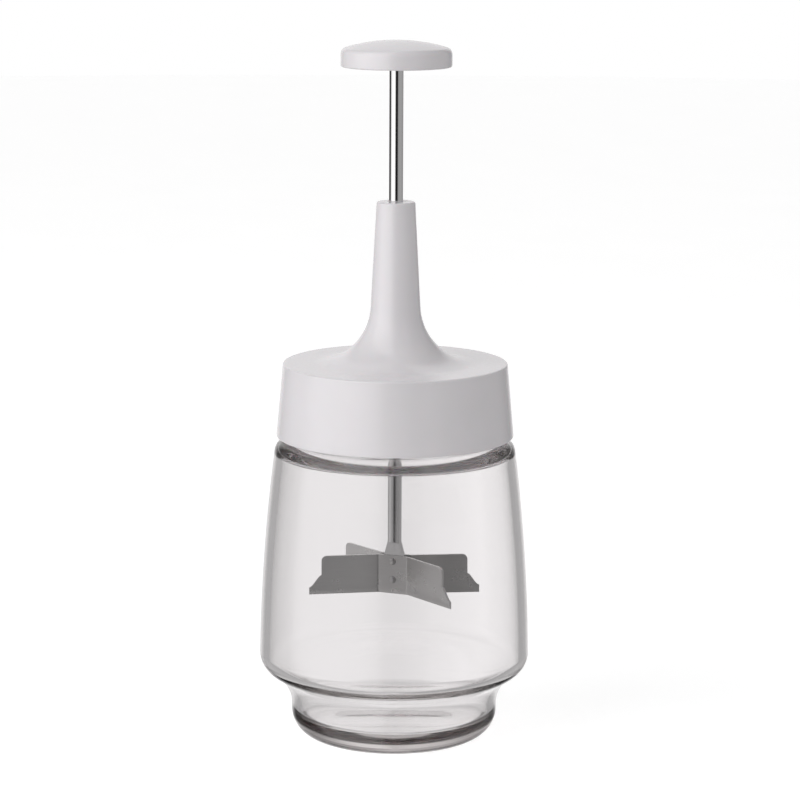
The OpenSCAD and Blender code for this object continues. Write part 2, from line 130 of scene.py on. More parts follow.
# lid and neck
LID_Z = LID[0].z
LID_R = LID[1].x
LID_THREAD_H = 1.3
THREAD_GAP = 0.6
SKIRT_WALL = 1.4
LID_BORE_R = FINISH_R + LID_THREAD_H + THREAD_GAP
LID_TOP_R = LID_BORE_R + SKIRT_WALL
NECK_Z = LID[1].z
NECK_H = 55.6
LID_TOP_Z = NECK_Z - NECK_H
LID_TOP_T = 2.6
LID_UNDER_Z = LID_TOP_Z - LID_TOP_T
LID_BEVEL = 0.7
LID_EDGE_R = 0.4
SEAL_RIB_R = MOUTH_R - 0.6
SEAL_RIB_WALL = 1.3
SEAL_RIB_DROP = 2.6
LID_THREAD_TURNS = 1.0
LID_THREAD_START = 60.0
LID_THREAD_Z = JAR_THREAD_Z + THREAD_PITCH * LID_THREAD_START / 360 - (THREAD_ROOT + THREAD_CREST) / 2
FLARE_R = 20.3
NECK_TOP_R = 6.65
NECK_TAPER = 3.0
NECK_EDGE_R = 0.7
CHAMBER_R = 5.15
CHAMBER_TOP_Z = NECK_Z - 4.4
TUBE_R = CHAMBER_R + 2.1
TUBE_Z = LID_TOP_Z - 14.0
WEB_COUNT = 4
WEB_T = 1.6
WEB_RISE = 5.0
WEB_END = 250

# rod, knob and blades
ROD_R = 2.4
BORE_R = ROD_R + 0.05
TANG_T = 2.4
TANG_W = 7.6
TANG_RISE = 4.8
TANG_LIFT = 0.8
ROD_CHAMFER = 0.4
KNOB_R = KNOB[1].x
KNOB_Z = KNOB[0].z
KNOB_TOP_Z = KNOB[1].z
KNOB_DOME_R = 62.0
KNOB_ROUND = 2.4
KNOB_WALL = 2.0
KNOB_EDGE_R = 0.6
KNOB_BOSS_R = 5.5
KNOB_BOSS_LIFT = 0.9
KNOB_RIBS = 6
KNOB_RIB_LIFT = 2.2
BLADE_Z = BLADE[0].z
BLADE_H = BLADE[1].z - BLADE[0].z
BLADE_T = 0.8
BEND_R = 1.2
PLATE_W = 10.0
BLADE_TIP_R = 29.6
WING_STEP = 4.3
FRONT_WING_ANGLE = 31.5
BACK_WING_ANGLE = 28.0
TIP_H = 2.5
STEP_H = 4.4
WING_ROUND = 1.8
GRIND_H = 1.4
GRIND_SHARE = 0.8
RIVET_R = 1.3
RIVET_SHANK_R = 0.8
SPRING_WIRE_R = 0.45
SPRING_TURNS = 16

# camera, as fitted to the photograph: the object leans a quarter degree in its frame
CAMERA_AZIMUTH = 22.0
CAMERA_BACK = 1016.6
CAMERA_HEIGHT = 307.6
CAMERA_SIDE = 1.675
CAMERA_PITCH = 10.557
CAMERA_ROLL = 0.253
CAMERA_LENS = 135.0

# light: one lamp on the photograph's left, a white world and a floor that shows white
KEY_AZIMUTH = CAMERA_AZIMUTH - 60
KEY_ELEVATION = 24
KEY_DISTANCE = 1100.0
KEY_HEIGHT = 120.0
KEY_SIZE = (1200.0, 900.0)
KEY_POWER = 6.25
WORLD_FILL = 0.485
UNDER_LID_LIGHT = 2.5
FLOOR_GLOW = 0.56
FLOOR_R = 3000.0
FLOOR_DROP = 0.1


def arc(centre, radius, start, end, count=16):
    """Points of a circular arc in a profile, as (radius, height) in millimetres."""
    turns = np.radians(np.linspace(start, end, count + 1))
    return [(centre[0] + radius * math.cos(t), centre[1] + radius * math.sin(t)) for t in turns]


def line(a, b, step):
    """Points from a to b no further apart than step, without a itself."""
    count = max(1, math.ceil(math.dist(a, b) / step))
    return [(a[0] + (b[0] - a[0]) * i / count, a[1] + (b[1] - a[1]) * i / count)
            for i in range(1, count + 1)]


def smoothstep(low, high, x):
    """0 below low, 1 above high, and an even curve between."""
    t = min(1.0, max(0.0, (x - low) / (high - low)))
    return t * t * (3 - 2 * t)


def new_mesh(name, points, faces, sharp=35.0):
    """An object from points in millimetres, smooth but for edges sharper than the angle given."""
    mesh = bpy.data.meshes.new(name)
    mesh.from_pydata([Vector(p) * MM for p in points], [], faces)
    mesh.validate()
    tidy = bmesh.new()
    tidy.from_mesh(mesh)
    bmesh.ops.remove_doubles(tidy, verts=tidy.verts, dist=1e-7)
    bmesh.ops.recalc_face_normals(tidy, faces=tidy.faces)
    tidy.to_mesh(mesh)
    tidy.free()
    mesh.shade_smooth()
    mesh.set_sharp_from_angle(angle=math.radians(sharp))
    piece = bpy.data.objects.new(name, mesh)
    bpy.context.scene.collection.objects.link(piece)
    return piece


def lathe(name, profile, segments, sharp, closed=False, relief=None):
    """Turns a profile of (radius, height) about the axis. relief(angle, radius, height) gives a change of
    radius. A closed profile is a ring that returns to its start, an open one starts and ends on the axis."""
    rows = len(profile)
    points, faces, start_of = [], [], []
    for radius, height in profile:
        start_of.append(len(points))
        if radius < 1e-6:
            points.append((0.0, 0.0, height))
            continue
        for k in range(segments):
            angle = 2 * math.pi * k / segments
            r = radius + (relief(angle, radius, height) if relief else 0.0)
            points.append((r * math.cos(angle), r * math.sin(angle), height))
    for i in range(rows if closed else rows - 1):
        j = (i + 1) % rows
        a_tip, b_tip = profile[i][0] < 1e-6, profile[j][0] < 1e-6
        for k in range(segments):
            n = (k + 1) % segments
            a, b = start_of[i], start_of[j]
            if a_tip and not b_tip:
                faces.append((a, b + n, b + k))
            elif b_tip and not a_tip:
                faces.append((a + k, a + n, b))
            elif not a_tip and not b_tip:
                faces.append((a + k, a + n, b + n, b + k))
    return new_mesh(name, points, faces, sharp)


def join(base, *others):
    """Joins other meshes into base and removes them."""
    merged = bmesh.new()
    for piece in (base, *others):
        merged.from_mesh(piece.data)
    merged.to_mesh(base.data)
    merged.free()
    for piece in others:
        bpy.data.objects.remove(piece)


def block(name, outline, thickness, turn):
    """A plate of an outline in the (radius, height) plane, thick about that plane, turned about the axis."""
    half = thickness / 2
    count = len(outline)
    points = [(r, side * half, z) for side in (-1, 1) for r, z in outline]
    faces = [tuple(range(count)), tuple(range(2 * count - 1, count - 1, -1))]
    faces += [(i, (i + 1) % count, count + (i + 1) % count, count + i) for i in range(count)]
    plate = new_mesh(name, points, faces)
    plate.data.transform(Matrix.Rotation(math.radians(turn), 4, "Z"))
    return plate


# ---- materials ----

class Tree:
    """A node tree, built by short calls."""

    def __init__(self, holder):
        holder.use_nodes = True
        self.nodes = holder.node_tree.nodes
        self.links = holder.node_tree.links

    def node(self, kind, inputs=None, **settings):
        made = self.nodes.new(kind)
        for key, value in settings.items():
            setattr(made, key, value)
        for key, value in (inputs or {}).items():
            if isinstance(value, bpy.types.NodeSocket):
                self.links.new(value, made.inputs[key])
            else:
                made.inputs[key].default_value = value
        return made

    def maths(self, operation, a, b=0.0):
        return self.node("ShaderNodeMath", {0: a, 1: b}, operation=operation).outputs["Value"]

    def ramp(self, source, *stops):
        """Maps 0 to 1 through colour stops, each (position, colour)."""
        made = self.node("ShaderNodeValToRGB", {"Fac": source})
        elements = made.color_ramp.elements
        elements[0].position, elements[0].color = stops[0]
        elements[1].position, elements[1].color = stops[-1]
        for position, colour in stops[1:-1]:
            elements.new(position).color = colour
        return made.outputs["Color"]

    def mix(self, factor, a, b, blend="MIX"):
        made = self.node("ShaderNodeMix", {"Factor": factor}, data_type="RGBA", blend_type=blend)
        for socket, value in ((made.inputs[6], a), (made.inputs[7], b)):
            if isinstance(value, bpy.types.NodeSocket):
                self.links.new(value, socket)
            else:
                socket.default_value = value
        return made.outputs[2]


class Shader(Tree):
    """A material with its Principled shader."""

    def __init__(self, name):
        self.material = bpy.data.materials.new(name)
        super().__init__(self.material)
        self.shader = self.nodes["Principled BSDF"]
        self.place = self.nodes.new("ShaderNodeTexCoord").outputs["Object"]

    def put(self, **values):
        """Sets shader inputs: an underscore in a name stands for a space."""
        for key, value in values.items():
            self.shader.inputs[key.replace("_", " ")].default_value = value

    def stretched(self, scale):
        """Object coordinates scaled along each axis."""
        return self.node("ShaderNodeMapping", {"Vector": self.place, "Scale": scale}).outputs["Vector"]

    def noise(self, scale, detail=3.0, where=None):
        """A cloudy pattern from 0 to 1, in object coordinates or in those given."""
        inputs = {"Vector": where or self.place, "Scale": scale, "Detail": detail, "Roughness": 0.55}
        return self.node("ShaderNodeTexNoise", inputs).outputs["Fac"]

    def feed(self, source, target):
        self.links.new(source, self.shader.inputs[target])

    def bump(self, height, strength, distance):
        """Relief in the surface's shading, its distance in metres."""
        made = self.node("ShaderNodeBump", {"Height": height, "Strength": strength, "Distance": distance})
        self.feed(made.outputs["Normal"], "Normal")

    def vary(self, pattern, target, low, high):
        """Drives a shader input by a pattern, each end being (position, colour)."""
        self.feed(self.ramp(pattern, low, high), target)


def grey(value, red=0.0, blue=0.0):
    """A near-neutral colour, with a little more red or blue than green."""
    return (value * (1 + red), value, value * (1 + blue), 1.0)


def white_plastic():
    made = Shader("white_plastic")
    made.put(IOR=1.6, Subsurface_Weight=0.04, Subsurface_Scale=0.002)
    cloud = made.noise(60.0, 2.0)
    made.vary(cloud, "Base Color", (0.3, grey(0.8, 0.03, 0.025)), (0.7, grey(0.82, 0.035, 0.03)))
    made.vary(made.noise(900.0, 4.0), "Roughness", (0.3, grey(0.16)), (0.75, grey(0.24)))
    made.bump(made.noise(420.0, 3.0), 0.05, 0.0002)
    return made.material


def clear_glass():
    made = Shader("clear_glass")
    made.put(Transmission_Weight=1.0, IOR=1.5, Roughness=0.0)
    tint = made.noise(9.0, 2.0)
    made.vary(tint, "Base Color", (0.3, grey(0.985, 0.006, 0.002)), (0.7, grey(0.99, 0.006, 0.002)))
    made.bump(made.noise(1.0, 2.0, made.stretched((45.0, 45.0, 16.0))), 0.06, 0.0006)
    absorb = made.node("ShaderNodeVolumeAbsorption", {"Color": (0.845, 0.83, 0.825, 1.0), "Density": 45.0})
    made.links.new(absorb.outputs["Volume"], made.nodes["Material Output"].inputs["Volume"])
    return made.material


def bright_rod():
    made = Shader("chrome_rod")
    made.put(Metallic=1.0)
    along = made.noise(1.0, 3.0, made.stretched((2600.0, 2600.0, 18.0)))
    made.vary(along, "Base Color", (0.3, grey(0.78)), (0.7, grey(0.84)))
    made.vary(along, "Roughness", (0.3, grey(0.08)), (0.75, grey(0.13)))
    made.bump(along, 0.01, 0.0001)
    return made.material


def blade_steel():
    made = Shader("blade_steel")
    made.put(Metallic=1.0)
    grain = made.noise(1.0, 4.0, made.stretched((160.0, 160.0, 5200.0)))
    smear = made.noise(130.0, 3.0)
    made.vary(grain, "Base Color", (0.25, grey(0.66, 0.01, -0.01)), (0.75, grey(0.74, 0.01, -0.01)))
    made.vary(smear, "Roughness", (0.3, grey(0.26)), (0.7, grey(0.34)))
    made.bump(grain, 0.04, 0.00008)
    return made.material


def spring_steel():
    made = Shader("spring_steel")
    made.put(Metallic=1.0)
    drawn = made.noise(1400.0, 3.0)
    made.vary(drawn, "Base Color", (0.3, grey(0.42)), (0.7, grey(0.56)))
    made.vary(drawn, "Roughness", (0.3, grey(0.25)), (0.7, grey(0.38)))
    made.bump(drawn, 0.1, 0.0001)
    return made.material


def seal_rubber():
    made = Shader("seal_rubber")
    made.put(Subsurface_Weight=0.2, Subsurface_Scale=0.002)
    cloud = made.noise(220.0, 3.0)
    made.vary(cloud, "Base Color", (0.3, grey(0.66)), (0.7, grey(0.72)))
    made.vary(cloud, "Roughness", (0.3, grey(0.42)), (0.7, grey(0.55)))
    made.bump(made.noise(1500.0, 2.0), 0.15, 0.0001)
    return made.material


# ---- pieces ----

def thread_height(angle, height, first_angle, first_z, turns, ridge):
    """How far a screw ridge stands out at an angle and height."""
    best = 0.0
    for lap in (-1, 0, 1, 2):
        run = angle - math.radians(first_angle) + 2 * math.pi * lap
        if not 0 <= run <= turns * 2 * math.pi:
            continue
        off = abs(height - first_z - THREAD_PITCH * run / (2 * math.pi))
        fade = min(run, turns * 2 * math.pi - run) / math.radians(30)
        rise = 1 - smoothstep(THREAD_CREST / 2, THREAD_ROOT / 2, off)
        best = max(best, ridge * rise * min(1.0, fade))
    return best


def jar_profile():
    """The jar's outline, out from the base's centre, up, over the rim and down to the floor's centre."""
    step_round = 0.8
    floor_round = WAIST_C[1] - FLOOR_Z
    floor_r = FOOT_R - WALL - floor_round
    fillet_z = SHOULDER_Z - SHOULDER_T + MOUTH_FILLET
    outside = [(PUNT_R * t, PUNT_H * (1 - t * t)) for t in np.linspace(0, 1, 13)]
    outside += arc((FOOT_R - FOOT_ROUND, FOOT_ROUND), FOOT_ROUND, -90, 0, 24)
    outside += arc(WAIST_C, WAIST_R, 180, WAIST_END, 28)
    outside += arc(CORNER_C, BELLY_ROUND, WAIST_END - 180, BELLY_LEAN, 24)[1:]
    outside += arc(BELLY_C, BELLY_ARC_R, BELLY_LEAN, SHOULDER_LEAN, 40)[1:]
    outside += arc(SHOULDER_C, SHOULDER_ROUND, SHOULDER_LEAN, 90, 16)[1:]
    outside += arc((FINISH_R + step_round, SHOULDER_Z + step_round), step_round, 270, 180, 5)
    outside += line(outside[-1], (FINISH_R, RIM_Z - RIM_ROUND), 0.3)
    outside += arc((FINISH_R - RIM_ROUND, RIM_Z - RIM_ROUND), RIM_ROUND, 0, 90, 8)[1:]
    inside = arc((MOUTH_R + RIM_ROUND, RIM_Z - RIM_ROUND), RIM_ROUND, 90, 180, 8)
    inside += arc((MOUTH_R + MOUTH_FILLET, fillet_z), MOUTH_FILLET, 180, 270, 10)
    inside += arc(INNER_C, INNER_SHOULDER_R, 90, INNER_LEAN, 12)
    inside += arc(BELLY_C, BELLY_ARC_R - WALL, INNER_LEAN, BELLY_LEAN, 40)[1:]
    inside += arc(CORNER_C, BELLY_ROUND - WALL, BELLY_LEAN, WAIST_END - 180, 18)[1:]
    inside += arc(WAIST_C, WAIST_R + WALL, WAIST_END, 180, 28)[1:]
    inside += arc((floor_r, FLOOR_Z + floor_round), floor_round, 0, -90, 10)[1:]
    inside += [(r, FLOOR_Z) for r in np.linspace(floor_r, 0.0, 13)[1:]]
    return outside + inside


def jar():
    def relief(angle, radius, height):
        if radius > FINISH_R - 0.01 and SHOULDER_Z + 1 < height < RIM_Z - 1:
            return thread_height(angle, height, 0, JAR_THREAD_Z, JAR_THREAD_TURNS, JAR_THREAD_H)
        return 0.0
    made = lathe("jar_glass", jar_profile(), 256, 60, relief=relief)
    made.data.materials.append(clear_glass())
    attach(made, "jar")
    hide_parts("jar")


def neck_curve():
    """Centre of the neck's flare, and where the hollow under it meets the spring's tube, in degrees."""
    taper = math.radians(NECK_TAPER)
    flare_z = LID_TOP_Z + FLARE_R
    flare_x = NECK_TOP_R + (NECK_Z - flare_z) * math.tan(taper) + FLARE_R / math.cos(taper)
    tube_join = math.degrees(math.acos((flare_x - TUBE_R) / (FLARE_R + LID_TOP_T)))
    return (flare_x, flare_z), tube_join


def lid_profile(flare, tube_join):
    """The lid's outline, as a ring: the skirt and the neck outside, then the rod's bore, the spring's
    chamber and the hollow under the top."""
    skirt_lip = 0.4
    bore_bevel = 0.35
    rib_in, rib_low = SEAL_RIB_R - SEAL_RIB_WALL, LID_UNDER_Z - SEAL_RIB_DROP
    neck_edge = (NECK_TOP_R - NECK_EDGE_R, NECK_Z - NECK_EDGE_R)
    points = arc((LID_BORE_R + skirt_lip, LID_Z + skirt_lip), skirt_lip, 180, 270, 4)
    points += arc((LID_R - LID_EDGE_R, LID_Z + LID_EDGE_R), LID_EDGE_R, -90, 0, 10)
    points += line(points[-1], (LID_TOP_R, LID_TOP_Z - LID_BEVEL), 2.0)
    points += arc((LID_TOP_R - LID_BEVEL, LID_TOP_Z - LID_BEVEL), LID_BEVEL, 4, 86, 6)
    points += line(points[-1], (flare[0], LID_TOP_Z), 1.5)
    points += arc(flare, FLARE_R, 270, 180 + NECK_TAPER, 40)[1:]
    points += line(points[-1], (NECK_TOP_R, neck_edge[1]), 3.0)
    points += arc(neck_edge, NECK_EDGE_R, 0, 90, 8)[1:]
    points += arc((BORE_R + bore_bevel, NECK_Z - bore_bevel), bore_bevel, 90, 180, 4)
    points += [(BORE_R, CHAMBER_TOP_Z), (CHAMBER_R, CHAMBER_TOP_Z), (CHAMBER_R, TUBE_Z), (TUBE_R, TUBE_Z)]
    points += arc(flare, FLARE_R + LID_TOP_T, 180 + tube_join, 270, 24)
    points += [(rib_in, LID_UNDER_Z), (rib_in, rib_low), (SEAL_RIB_R, rib_low), (SEAL_RIB_R, LID_UNDER_Z)]
    points += [(LID_BORE_R, LID_UNDER_Z)]
    points += line(points[-1], (LID_BORE_R, LID_Z + 2 * skirt_lip), 0.3)
    return points


def lid():
    flare, tube_join = neck_curve()

    def relief(angle, radius, height):
        if abs(radius - LID_BORE_R) < 0.01 and LID_Z + 1 < height < LID_UNDER_Z - 1:
            return -thread_height(angle, height, LID_THREAD_START, LID_THREAD_Z, LID_THREAD_TURNS,
                                  LID_THREAD_H)
        return 0.0
    made = lathe("lid_shell", lid_profile(flare, tube_join), 256, 32, closed=True, relief=relief)
    lap = 0.4
    hollow = FLARE_R + LID_TOP_T
    web = [(TUBE_R - lap, TUBE_Z + WEB_RISE),
           (TUBE_R - lap, flare[1] - hollow * math.sin(math.radians(tube_join)))]
    web += arc(flare, hollow - lap, 180 + tube_join, WEB_END, 10)
    web += [(TUBE_R + 1, TUBE_Z + WEB_RISE)]
    webs = [block(f"lid_web_{i}", web, WEB_T, 360 / WEB_COUNT * (i + 0.5)) for i in range(WEB_COUNT)]
    join(made, *webs)
    made.data.materials.append(PLASTIC)
    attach(made, "lid")
    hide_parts("lid")


def knob():
    reach = KNOB_DOME_R - KNOB_ROUND
    corner_x = KNOB_R - KNOB_ROUND
    inner_dome = KNOB_DOME_R - KNOB_WALL
    inner_r = KNOB_R - KNOB_WALL
    lean, inner_lean, boss_lean = (math.degrees(math.acos(share)) for share in
                                   (corner_x / reach, inner_r / inner_dome, KNOB_BOSS_R / inner_dome))
    dome = (0.0, KNOB_TOP_Z - KNOB_DOME_R)
    corner = (corner_x, dome[1] + reach * math.sin(math.radians(lean)))
    lip = 0.4
    boss_z = KNOB_Z + KNOB_BOSS_LIFT
    boss_bevel = 0.3
    profile = [(0.0, KNOB_TOP_Z)] + arc(dome, KNOB_DOME_R, 90, lean, 24)[1:]
    profile += arc(corner, KNOB_ROUND, lean, 0, 14)[1:]
    profile += line(profile[-1], (KNOB_R, KNOB_Z + KNOB_EDGE_R), 1.0)
    profile += arc((KNOB_R - KNOB_EDGE_R, KNOB_Z + KNOB_EDGE_R), KNOB_EDGE_R, 0, -90, 8)[1:]
    profile += arc((inner_r + lip, KNOB_Z + lip), lip, 270, 180, 5)
    profile += arc(dome, inner_dome, inner_lean, boss_lean, 12)
    profile += [(KNOB_BOSS_R, boss_z + boss_bevel), (KNOB_BOSS_R - boss_bevel, boss_z), (ROD_R, boss_z)]
    profile += [(ROD_R, ROD[1].z), (0.0, ROD[1].z)]
    made = lathe("push_knob_shell", profile, 192, 32)
    rib_low, rib_in, rib_out = KNOB_Z + KNOB_RIB_LIFT, KNOB_BOSS_R - lip, inner_r + lip
    rib = [(rib_in, rib_low), (rib_out, rib_low),
           (rib_out, KNOB_TOP_Z - 2 * KNOB_WALL), (rib_in, KNOB_TOP_Z - 1.5 * KNOB_WALL)]
    join(made, *[block(f"knob_rib_{i}", rib, KNOB_WALL / 2, 360 / KNOB_RIBS * i) for i in range(KNOB_RIBS)])
    made.data.materials.append(PLASTIC)
    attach(made, "plunger")
    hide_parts("push_knob")


def rod():
    """A round bar whose lower end is pressed flat and spreads into the tang."""
    flat_run = 0.5
    round_from = 0.2
    flat_top = BLADE_Z + BLADE_H + TANG_RISE
    flat_end = flat_top - flat_run
    wide_z = BLADE_Z + BLADE_H - flat_run
    tang_z = BLADE_Z + TANG_LIFT
    top = ROD[1].z
    heights = [tang_z, tang_z + ROD_CHAMFER * 0.75, *np.linspace(wide_z, flat_end, 9)]
    heights += [*np.linspace(flat_end, flat_top, 4)[1:]]
    heights += [*np.linspace(flat_top + round_from, top - ROD_CHAMFER, 6), top]
    sides = 96
    points, faces = [], []
    for z in heights:
        spread = 1 - min(1.0, max(0.0, (z - wide_z) / (flat_top - wide_z)))
        radius = ROD_R + (TANG_W / 2 - ROD_R) * spread
        if z == tang_z or z == top:
            radius -= ROD_CHAMFER
        pressed = 1 - min(1.0, max(0.0, (z - flat_end) / flat_run))
        thick = ROD_R - (ROD_R - TANG_T / 2) * pressed
        for k in range(sides):
            angle = 2 * math.pi * (k + 0.5) / sides
            y = max(-thick, min(thick, radius * math.sin(angle)))
            points.append((radius * math.cos(angle), y, z))
    for i in range(len(heights) - 1):
        for k in range(sides):
            n = (k + 1) % sides
            faces.append((i * sides + k, i * sides + n, (i + 1) * sides + n, (i + 1) * sides + k))
    faces.append(tuple(range(sides - 1, -1, -1)))
    faces.append(tuple((len(heights) - 1) * sides + k for k in range(sides)))
    made = new_mesh("rod_bar", points, faces, 24)
    made.data.materials.append(bright_rod())
    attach(made, "plunger")
    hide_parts("rod")


def wing_height(s):
    """Height of the strip's upper edge at a distance s from its middle."""
    top_r = BLADE_TIP_R - WING_STEP
    corner_x = top_r - WING_ROUND
    if s <= corner_x:
        return BLADE_H
    if s <= top_r:
        return BLADE_H - WING_ROUND + math.sqrt(max(0.0, WING_ROUND ** 2 - (s - corner_x) ** 2))
    return TIP_H + STEP_H * (1 - smoothstep(top_r - 0.3, BLADE_TIP_R + 0.2, s))


def strip_point(s, off, wing_angle):
    """Plan of the bent strip: s along it from its middle, off from the face on the tang."""
    half = PLATE_W / 2
    base = -TANG_T / 2
    sign = 1 if s >= 0 else -1
    s = abs(s)
    turn = math.radians(wing_angle)
    centre = (half, base - BLADE_T - BEND_R)
    mid = BEND_R + BLADE_T / 2
    if s <= half:
        return sign * s, base - off
    radius = BEND_R + BLADE_T - off
    angle = min((s - half) / mid, turn)
    x = centre[0] + radius * math.sin(angle)
    y = centre[1] + radius * math.cos(angle)
    rest = max(0.0, s - half - turn * mid)
    return sign * (x + rest * math.cos(turn)), y - rest * math.sin(turn)


def blade_spots():
    """Distances from the strip's middle at which its outline is drawn, from one tip to the other."""
    half = PLATE_W / 2
    bend_end = half + BEND_R
    top_r = BLADE_TIP_R - WING_STEP
    spots = [*np.linspace(0, half, 4), *np.linspace(half, bend_end, 9)[1:]]
    spots += [*np.linspace(bend_end, top_r - WING_ROUND, 12)[1:]]
    spots += [top_r - WING_ROUND * (1 - math.sin(t)) for t in np.linspace(0, math.pi / 2, 10)[1:]]
    spots += [top_r + 0.02, *np.linspace(top_r, BLADE_TIP_R, 14)[1:]]
    return [-s for s in spots[:0:-1]] + spots


def blade(name, turn, wing_angle, node):
    """A stainless strip with two bent wings and a ground lower edge."""
    spots = blade_spots()
    ground_rows, upper_rows = 4, 6
    rows = ground_rows + upper_rows
    points, faces = [], []
    for side in (0, 1):
        for s in spots:
            top = wing_height(abs(s))
            levels = [*np.linspace(0, GRIND_H, ground_rows)]
            levels += [*np.linspace(GRIND_H, top, upper_rows + 1)[1:]]
            for z in levels:
                thin = GRIND_SHARE * (1 - min(z, GRIND_H) / GRIND_H)
                x, y = strip_point(s, side * BLADE_T * (1 - thin), wing_angle)
                points.append((x, y, BLADE_Z + z))
    count = len(spots)
    size = count * rows
    for i in range(count - 1):
        for j in range(rows - 1):
            a, b = i * rows + j, (i + 1) * rows + j
            faces.append((a, b, b + 1, a + 1))
            faces.append((size + a, size + a + 1, size + b + 1, size + b))
        for j in (0, rows - 1):
            a, b = i * rows + j, (i + 1) * rows + j
            faces.append((a, b, size + b, size + a))
    for i in (0, count - 1):
        for j in range(rows - 1):
            a = i * rows + j
            faces.append((a, a + 1, size + a + 1, size + a))
    made = new_mesh(name, points, faces, 30)
    made.data.transform(Matrix.Rotation(math.radians(turn), 4, "Z"))
    edge = made.modifiers.new("edge", "BEVEL")
    edge.width = 0.1 * MM
    edge.segments = 2
    edge.limit_method = "ANGLE"
    edge.angle_limit = math.radians(50)
    made.data.materials.append(STEEL)
    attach(made, "plunger")
    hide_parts(node)


def rivet(name, node):
    """A shank with a domed head on each side, through both strips and the tang."""
    low, high = node_size(node)
    grip = TANG_T / 2 + BLADE_T
    head = high.y - grip
    centre_z = (low.z + high.z) / 2
    seat = grip - 0.05
    turns = np.linspace(0, math.pi / 2, 14)[:-1]
    dome = [(RIVET_R * math.cos(t) ** 0.6, grip + head * math.sin(t)) for t in turns] + [(0.0, high.y)]
    half = dome[::-1] + [(RIVET_R, seat), (RIVET_SHANK_R, seat)]
    made = lathe(name, half + [(r, -z) for r, z in half[::-1]], 48, 40)
    made.data.transform(Matrix.Rotation(math.radians(90), 4, "X"))
    made.data.transform(Matrix.Translation((0, 0, centre_z * MM)))
    made.data.materials.append(STEEL)
    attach(made, "plunger")
    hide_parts(node)


def spring():
    """The return spring as one round wire, coiled evenly from its low end to its high end."""
    mean_r = SPRING[1].x - SPRING_WIRE_R
    low, high = SPRING[0].z + SPRING_WIRE_R, SPRING[1].z - SPRING_WIRE_R
    rings, sides = 24, 10
    rise = math.atan((high - low) / SPRING_TURNS / (2 * math.pi * mean_r))
    points, faces = [], []
    total = SPRING_TURNS * rings
    for i in range(total + 1):
        angle = 2 * math.pi * i / rings
        z = low + (high - low) * i / total
        for k in range(sides):
            t = 2 * math.pi * k / sides
            out, up = SPRING_WIRE_R * math.cos(t), SPRING_WIRE_R * math.sin(t)
            points.append(((mean_r + out) * math.cos(angle) + up * math.sin(rise) * math.sin(angle),
                           (mean_r + out) * math.sin(angle) - up * math.sin(rise) * math.cos(angle),
                           z + up * math.cos(rise)))
    for i in range(total):
        for k in range(sides):
            n = (k + 1) % sides
            faces.append((i * sides + k, (i + 1) * sides + k, (i + 1) * sides + n, i * sides + n))
    faces.append(tuple(range(sides)))
    faces.append(tuple(total * sides + k for k in range(sides - 1, -1, -1)))
    made = new_mesh("return_spring_wire", points, faces, 60)
    made.data.materials.append(SPRING_STEEL)
    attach(made, "lid")
    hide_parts("return_spring")
    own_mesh(made)


def dress(node, material):
    """Gives a CAD node that stays in view its material."""
    data = frame["nodes"][node].data
    data.materials.clear()
    data.materials.append(material)


# ---- stage ----

def camera():
    turn = math.radians(CAMERA_AZIMUTH)
    pitch = math.radians(CAMERA_PITCH)
    right = Vector((math.cos(turn), math.sin(turn), 0))
    ahead = Vector((-math.sin(turn), math.cos(turn), 0))
    up = Vector((0, 0, 1))
    data = bpy.data.cameras.new("camera")
    data.lens = CAMERA_LENS
    data.sensor_width = 36.0
    data.clip_end = 20.0
    made = bpy.data.objects.new("camera", data)
    bpy.context.scene.collection.objects.link(made)
    look = ahead * math.cos(pitch) - up * math.sin(pitch)
    over = ahead * math.sin(pitch) + up * math.cos(pitch)
    roll = math.radians(CAMERA_ROLL)
    side = right * math.cos(roll) + over * math.sin(roll)
    over = over * math.cos(roll) - right * math.sin(roll)
    place = (right * CAMERA_SIDE - ahead * CAMERA_BACK + up * CAMERA_HEIGHT) * MM
    made.matrix_world = Matrix((
        (side.x, over.x, -look.x, place.x),
        (side.y, over.y, -look.y, place.y),
        (side.z, over.z, -look.z, place.z),
        (0, 0, 0, 1)))
    bpy.context.scene.camera = made


def key_lamp():
    """A soft box that faces the object's middle, at an azimuth measured like the camera's."""
    a, e = math.radians(KEY_AZIMUTH), math.radians(KEY_ELEVATION)
    way = Vector((math.sin(a) * math.cos(e), -math.cos(a) * math.cos(e), math.sin(e)))
    data = bpy.data.lights.new("key_box", "AREA")
    data.shape = "RECTANGLE"
    data.size = KEY_SIZE[0] * MM
    data.size_y = KEY_SIZE[1] * MM
    data.energy = KEY_POWER
    made = bpy.data.objects.new("key_box", data)
    bpy.context.scene.collection.objects.link(made)
    made.location = (Vector((0, 0, KEY_HEIGHT)) + way * KEY_DISTANCE) * MM
    made.rotation_mode = "QUATERNION"
    made.rotation_quaternion = way.to_track_quat("Z", "Y")
    made.visible_camera = False
    made.visible_glossy = False
    made.visible_transmission = False


def around(tree, share, *stops):
    """A grey that follows the azimuth: stops are (degrees, level), 0 towards the photograph's camera and
    positive on its right."""
    return tree.ramp(share, *[((angle + 180) / 360, grey(level, 0.012, 0.004)) for angle, level in stops])


